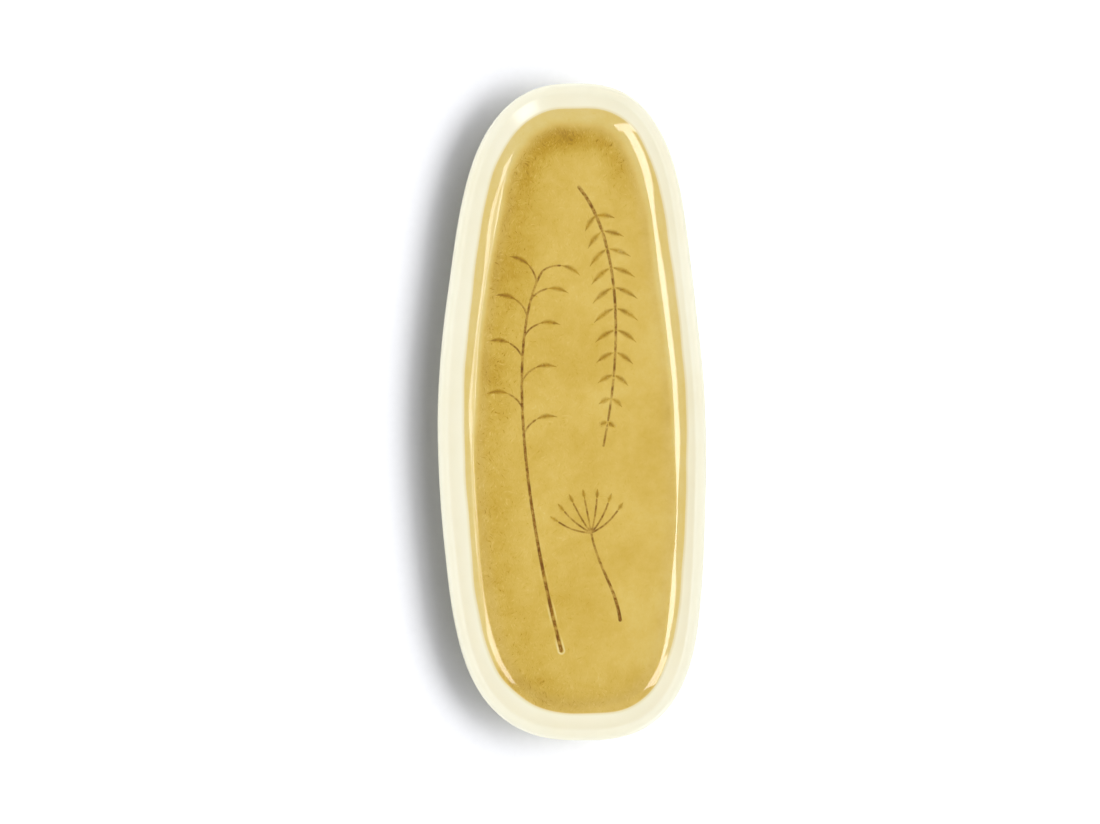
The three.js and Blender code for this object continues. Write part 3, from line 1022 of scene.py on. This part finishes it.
# Honey-coloured stoneware glaze, poured and fired to a gloss, so that it lies level in the well.
def amber_glaze():
    material, tree, shader, place = new_material("poured_honey_glaze", {"IOR": 1.5})
    honey_gloss(tree, shader)
    tree.links.new(honey_colour(tree, place), shader.inputs["Base Color"])
    swell = add_node(tree, "ShaderNodeTexNoise", {"Vector": place, "Scale": per_metre(11), "Detail": 2})
    bump = add_node(
        tree,
        "ShaderNodeBump",
        {"Height": swell.outputs["Fac"], "Strength": 0.2, "Distance": 0.15 * MM},
    )
    tree.links.new(bump.outputs["Normal"], shader.inputs["Normal"])
    return material


# Iron oxide rubbed into pressed lines under the honey glaze: brown, broken along its length and fading into
# amber at the edges of the leaves.
def iron_stain():
    material, tree, shader, place = new_material("rubbed_iron_stain", {"IOR": 1.5})
    honey_gloss(tree, shader)
    honey = honey_colour(tree, place)
    stain = add_node(tree, "ShaderNodeAttribute", {}, {"attribute_name": "stain"}).outputs["Fac"]
    patches = add_node(
        tree,
        "ShaderNodeTexNoise",
        {"Vector": place, "Scale": per_metre(5), "Detail": 4, "Roughness": 0.7},
    )
    broken = add_node(
        tree,
        "ShaderNodeMapRange",
        {"Value": patches.outputs["Fac"], "From Min": 0.36, "From Max": 0.6, "To Min": 0.5, "To Max": 1.25},
    )
    strength = add_node(
        tree,
        "ShaderNodeMath",
        {0: stain, 1: broken.outputs["Result"]},
        {"operation": "MULTIPLY", "use_clamp": True},
    )
    brown = add_node(
        tree,
        "ShaderNodeValToRGB",
        {"Fac": patches.outputs["Fac"]},
        stops=[(0.4, "#94650c"), (0.65, "#71460a")],
    )
    colour = add_node(
        tree,
        "ShaderNodeMix",
        {"Factor": strength.outputs["Value"], "A": honey, "B": brown.outputs["Color"]},
        {"data_type": "RGBA"},
    )
    tree.links.new(colour.outputs["Result"], shader.inputs["Base Color"])
    bump = add_node(
        tree,
        "ShaderNodeBump",
        {"Height": patches.outputs["Fac"], "Strength": 0.15, "Distance": 0.05 * MM},
    )
    tree.links.new(bump.outputs["Normal"], shader.inputs["Normal"])
    return material


# Bare stoneware clay, sponged smooth and fired: matt buff with fine sand and a few iron specks.
def bare_clay():
    material, tree, shader, place = new_material("sponged_stoneware_clay", {"Roughness": 0.85, "IOR": 1.5})
    sand = add_node(tree, "ShaderNodeTexNoise", {"Vector": place, "Scale": per_metre(0.8), "Detail": 3})
    specks = add_node(tree, "ShaderNodeTexNoise", {"Vector": place, "Scale": per_metre(2.5), "Detail": 1})
    buff = add_node(
        tree,
        "ShaderNodeValToRGB",
        {"Fac": sand.outputs["Fac"]},
        stops=[(0.35, "#cdb88f"), (0.65, "#e0cfae")],
    )
    iron = add_node(
        tree,
        "ShaderNodeMapRange",
        {"Value": specks.outputs["Fac"], "From Min": 0.68, "From Max": 0.74},
    )
    colour = add_node(
        tree,
        "ShaderNodeMix",
        {"Factor": iron.outputs["Result"], "A": buff.outputs["Color"], "B": linear("#8d6a43")},
        {"data_type": "RGBA"},
    )
    tree.links.new(colour.outputs["Result"], shader.inputs["Base Color"])
    bump = add_node(
        tree,
        "ShaderNodeBump",
        {"Height": sand.outputs["Fac"], "Strength": 0.5, "Distance": 0.1 * MM},
    )
    tree.links.new(bump.outputs["Normal"], shader.inputs["Normal"])
    return material


# Studio: white paper floor, soft lamps and a camera straight above

# View: the picture's width and the platter's offset in pixels, and the size of a pixel at the lip
PIXELS_WIDE = 1100
CENTRE_SHIFT = 22
PIXEL = 0.608
LIP_HEIGHT = 21
CAMERA_HEIGHT = 2500
SENSOR = 36

# Paper floor in metres: its size, and the distances from its middle where its white glow begins and is full
FLOOR_SIZE = 12
GLOW_FROM = 0.23
GLOW_FULL = 0.33

# Even light from all round, as a share of white
AMBIENT = 0.18

# Share of its bounding rectangle that a lamp fills
SHARE_OF_BOX = {"RECTANGLE": 1, "ELLIPSE": math.pi / 4}

# Lamps in metres and degrees, as (name, towards, zenith, distance, size, radiance).
# Three keys in an arc throw the platter's shadow to the left and softly past both ends.
KEYS = [
    ("key_0_on_floor", 0, 47, 10, (10, 4), 5.8),
    ("key_30_on_floor", 30, 44, 10, (13, 5.6), 2.9),
    ("key_-30_on_floor", -30, 44, 10, (13, 5.6), 2.9),
]
# A white tent lights the platter, most from the narrow end and least from the left.
TENT = [
    ("tent_top", 0, 0, 1.6, (1.7, 1.7), 1.85),
    ("tent_0", 0, 68, 1.8, (1.8, 0.9), 1.95),
    ("tent_90", 90, 68, 1.8, (1.8, 0.9), 2.28),
    ("tent_180", 180, 68, 1.8, (1.8, 0.9), 1.75),
    ("tent_270", 270, 68, 1.8, (1.8, 0.9), 2.06),
]
# A low lamp gives the lip a glint at the left of the narrow end.
GLINT = ("glint_on_rim", -52, 80, 2, (0.8, 0.6), 7)
# Windows draw the bright strips in the gloss. Each has (towards, zenith, distance, slant) and its panes, as
# (name, size, shift, radiance). The outside shows them fainter.
WINDOWS = {
    "left_window": (
        (-173, 57, 2.83, 0),
        [
            ("near", (1.27, 2), -1.495, 8),
            ("middle", (2.16, 0.9), 0.22, 9),
            ("far", (0.65, 2), 1.625, 8),
        ],
    ),
    "right_window": (
        (10, 41, 1.77, 17),
        [
            ("far", (0.375, 0.4), -0.4875, 6.5),
            ("curtain", (0.12, 0.4), -0.24, 1.6),
            ("near", (0.56, 0.6), 0.1, 7.5),
        ],
    ),
}
OUTSIDE_SHARE = 0.2


def seen_directly(tree):
    """One for rays from the camera, from gloss and through clear coats, and nothing for scattered light."""
    path = add_node(tree, "ShaderNodeLightPath", {})
    sent_on = path.outputs["Is Camera Ray"]
    for ray in ("Is Glossy Ray", "Is Transmission Ray"):
        sent_on = add_node(
            tree,
            "ShaderNodeMath",
            {0: sent_on, 1: path.outputs[ray]},
            {"operation": "MAXIMUM"},
        ).outputs["Value"]
    return sent_on


# White paper, matt and faintly fibrous: it takes the shadow near the platter and glows plain white beyond it.
def paper_floor():
    mesh = bpy.data.meshes.new("paper_floor")
    half = FLOOR_SIZE / 2
    corners = [(-half, -half, 0), (half, -half, 0), (half, half, 0), (-half, half, 0)]
    mesh.from_pydata(corners, [], [(0, 1, 2, 3)])
    floor = bpy.data.objects.new("paper_floor", mesh)
    bpy.context.scene.collection.objects.link(floor)
    material, tree, shader, place = new_material(
        "white_paper",
        {"Roughness": 0.9, "Specular IOR Level": 0, "Emission Color": linear("#ffffff")},
    )
    fibres = add_node(tree, "ShaderNodeTexNoise", {"Vector": place, "Scale": per_metre(4), "Detail": 2})
    white = add_node(
        tree,
        "ShaderNodeValToRGB",
        {"Fac": fibres.outputs["Fac"]},
        stops=[(0.3, "#f5f6fa"), (0.7, "#f7f8fc")],
    )
    tree.links.new(white.outputs["Color"], shader.inputs["Base Color"])
    away = add_node(tree, "ShaderNodeVectorMath", {0: place}, {"operation": "LENGTH"})
    far = add_node(
        tree,
        "ShaderNodeMapRange",
        {"Value": away.outputs["Value"], "From Min": GLOW_FROM, "From Max": GLOW_FULL},
    )
    glow = add_node(
        tree,
        "ShaderNodeMath",
        {0: far.outputs["Result"], 1: seen_directly(tree)},
        {"operation": "MULTIPLY"},
    )
    tree.links.new(glow.outputs["Value"], shader.inputs["Emission Strength"])
    mesh.materials.append(material)
    return floor


# Plain white where it is seen, and a faint even light on everything.
def studio_world():
    world = bpy.data.worlds.new("studio")
    world.use_nodes = True
    bpy.context.scene.world = world
    tree = world.node_tree
    strength = add_node(
        tree,
        "ShaderNodeMath",
        {0: seen_directly(tree), 1: 1 - AMBIENT, 2: AMBIENT},
        {"operation": "MULTIPLY_ADD"},
    )
    background = tree.nodes["Background"]
    background.inputs["Color"].default_value = linear("#ffffff")
    tree.links.new(strength.outputs["Value"], background.inputs["Strength"])


def softbox(name, towards, zenith, distance, size, radiance, lit, slant=0, shift=0, shape="RECTANGLE"):
    """A flat lamp that faces the platter, size across and up in metres; lit is what it shines on.
    Slant turns it in its own plane, and shift moves it along its width."""
    lamp = bpy.data.lights.new(name, "AREA")
    lamp.shape = shape
    lamp.size, lamp.size_y = size
    lamp.energy = radiance * math.pi * size[0] * size[1] * SHARE_OF_BOX[shape]
    box = bpy.data.objects.new(name, lamp)
    turn, tilt = math.radians(towards), math.radians(zenith)
    direction = Vector((math.sin(tilt) * math.cos(turn), math.sin(tilt) * math.sin(turn), math.cos(tilt)))
    facing = direction.to_track_quat("Z", "Y") @ Quaternion((0, 0, 1), math.radians(slant))
    box.location = distance * direction + facing @ Vector((shift, 0, 0))
    box.rotation_euler = facing.to_euler()
    box.visible_camera = False
    receivers = bpy.data.collections.new(name + "_lit")
    for item in lit:
        receivers.objects.link(item)
    box.light_linking.receiver_collection = receivers
    bpy.context.scene.collection.objects.link(box)
    return box


def overhead_camera():
    view_height = CAMERA_HEIGHT - LIP_HEIGHT
    camera = bpy.data.cameras.new("overhead")
    camera.sensor_width = SENSOR
    camera.lens = SENSOR * view_height / (PIXELS_WIDE * PIXEL)
    holder = bpy.data.objects.new("overhead", camera)
    holder.location = Vector((-CENTRE_SHIFT * PIXEL, 0, CAMERA_HEIGHT)) * MM
    bpy.context.scene.collection.objects.link(holder)
    bpy.context.scene.camera = holder


# The platter, piece by piece

cream, amber, stain, clay = cream_glaze(), amber_glaze(), iron_stain(), bare_clay()
rim = finish_piece(rim_coat(), cream, "rim_glaze")
underside = finish_piece(underside_coat(), cream, "underside_glaze")
foot = finish_piece(bare_foot_ring(), clay, "foot_ring")
pool = finish_piece(well_pool(), amber, "well_glaze")
inlays = []
for node, strokes in PLANTS.items():
    inlay = stain_inlay(node.replace("inlay", "stain"), strokes)
    inlays.append(finish_piece(inlay, stain, node))
slab = finish_piece(slab_body(), clay, "stoneware_body")

# Camera, floor, background and lamps

overhead_camera()
floor = paper_floor()
studio_world()
well = [pool, *inlays]
outside = [rim, underside, foot, slab]
for lamp in KEYS:
    softbox(*lamp, [floor], shape="ELLIPSE")
for lamp in TENT:
    panel = softbox(*lamp, well + outside)
    panel.visible_glossy = False
for surface, lit, share in (("well", well, 1), ("outside", outside, OUTSIDE_SHARE)):
    for window, ((towards, zenith, distance, slant), panes) in WINDOWS.items():
        for pane, size, shift, radiance in panes:
            name = f"{window}_{pane}_on_{surface}"
            opening = softbox(name, towards, zenith, distance, size, radiance * share, lit, slant, shift)
            opening.visible_diffuse = False
glint = softbox(*GLINT, [rim])
glint.visible_diffuse = False

bpy.context.scene.view_settings.view_transform = "Standard"
